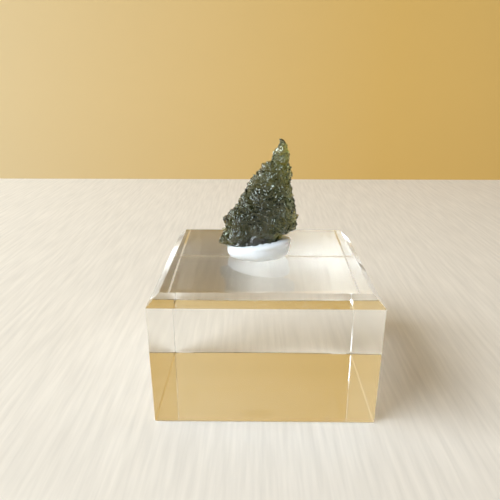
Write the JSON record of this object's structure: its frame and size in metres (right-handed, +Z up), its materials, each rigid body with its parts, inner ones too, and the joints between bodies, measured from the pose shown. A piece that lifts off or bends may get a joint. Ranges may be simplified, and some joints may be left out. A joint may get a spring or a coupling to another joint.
{
  "type": "acrylic display cube",
  "caption": "Solid clear square display block with bevelled top edges, and on it a jagged green glass stone held upright in a pad of white putty.",
  "frame": {"origin": "centre of the block's base", "axes": "+Z up; -Y is the front, which the broad side of the stone faces; +X is to the right seen from the front"},
  "size_m": [0.04, 0.04, 0.048],
  "materials": {
    "clear_acrylic": "polished",
    "white_putty": "matte",
    "green_glass_stone": "gloss"
  },
  "bodies": {
    "block": {"acrylic_block": "clear_acrylic"},
    "pad": {"putty_pad": "white_putty"},
    "stone": {"stone": "green_glass_stone"}
  },
  "joints": [
    {"name": "pad_lift", "type": "slide", "parent": "block", "child": "pad", "axis": [0, 0, 1], "range_m": [0, 0.03]},
    {"name": "stone_lift", "type": "slide", "parent": "pad", "child": "stone", "axis": [0, 0, 1], "range_m": [0, 0.03]}
  ]
}
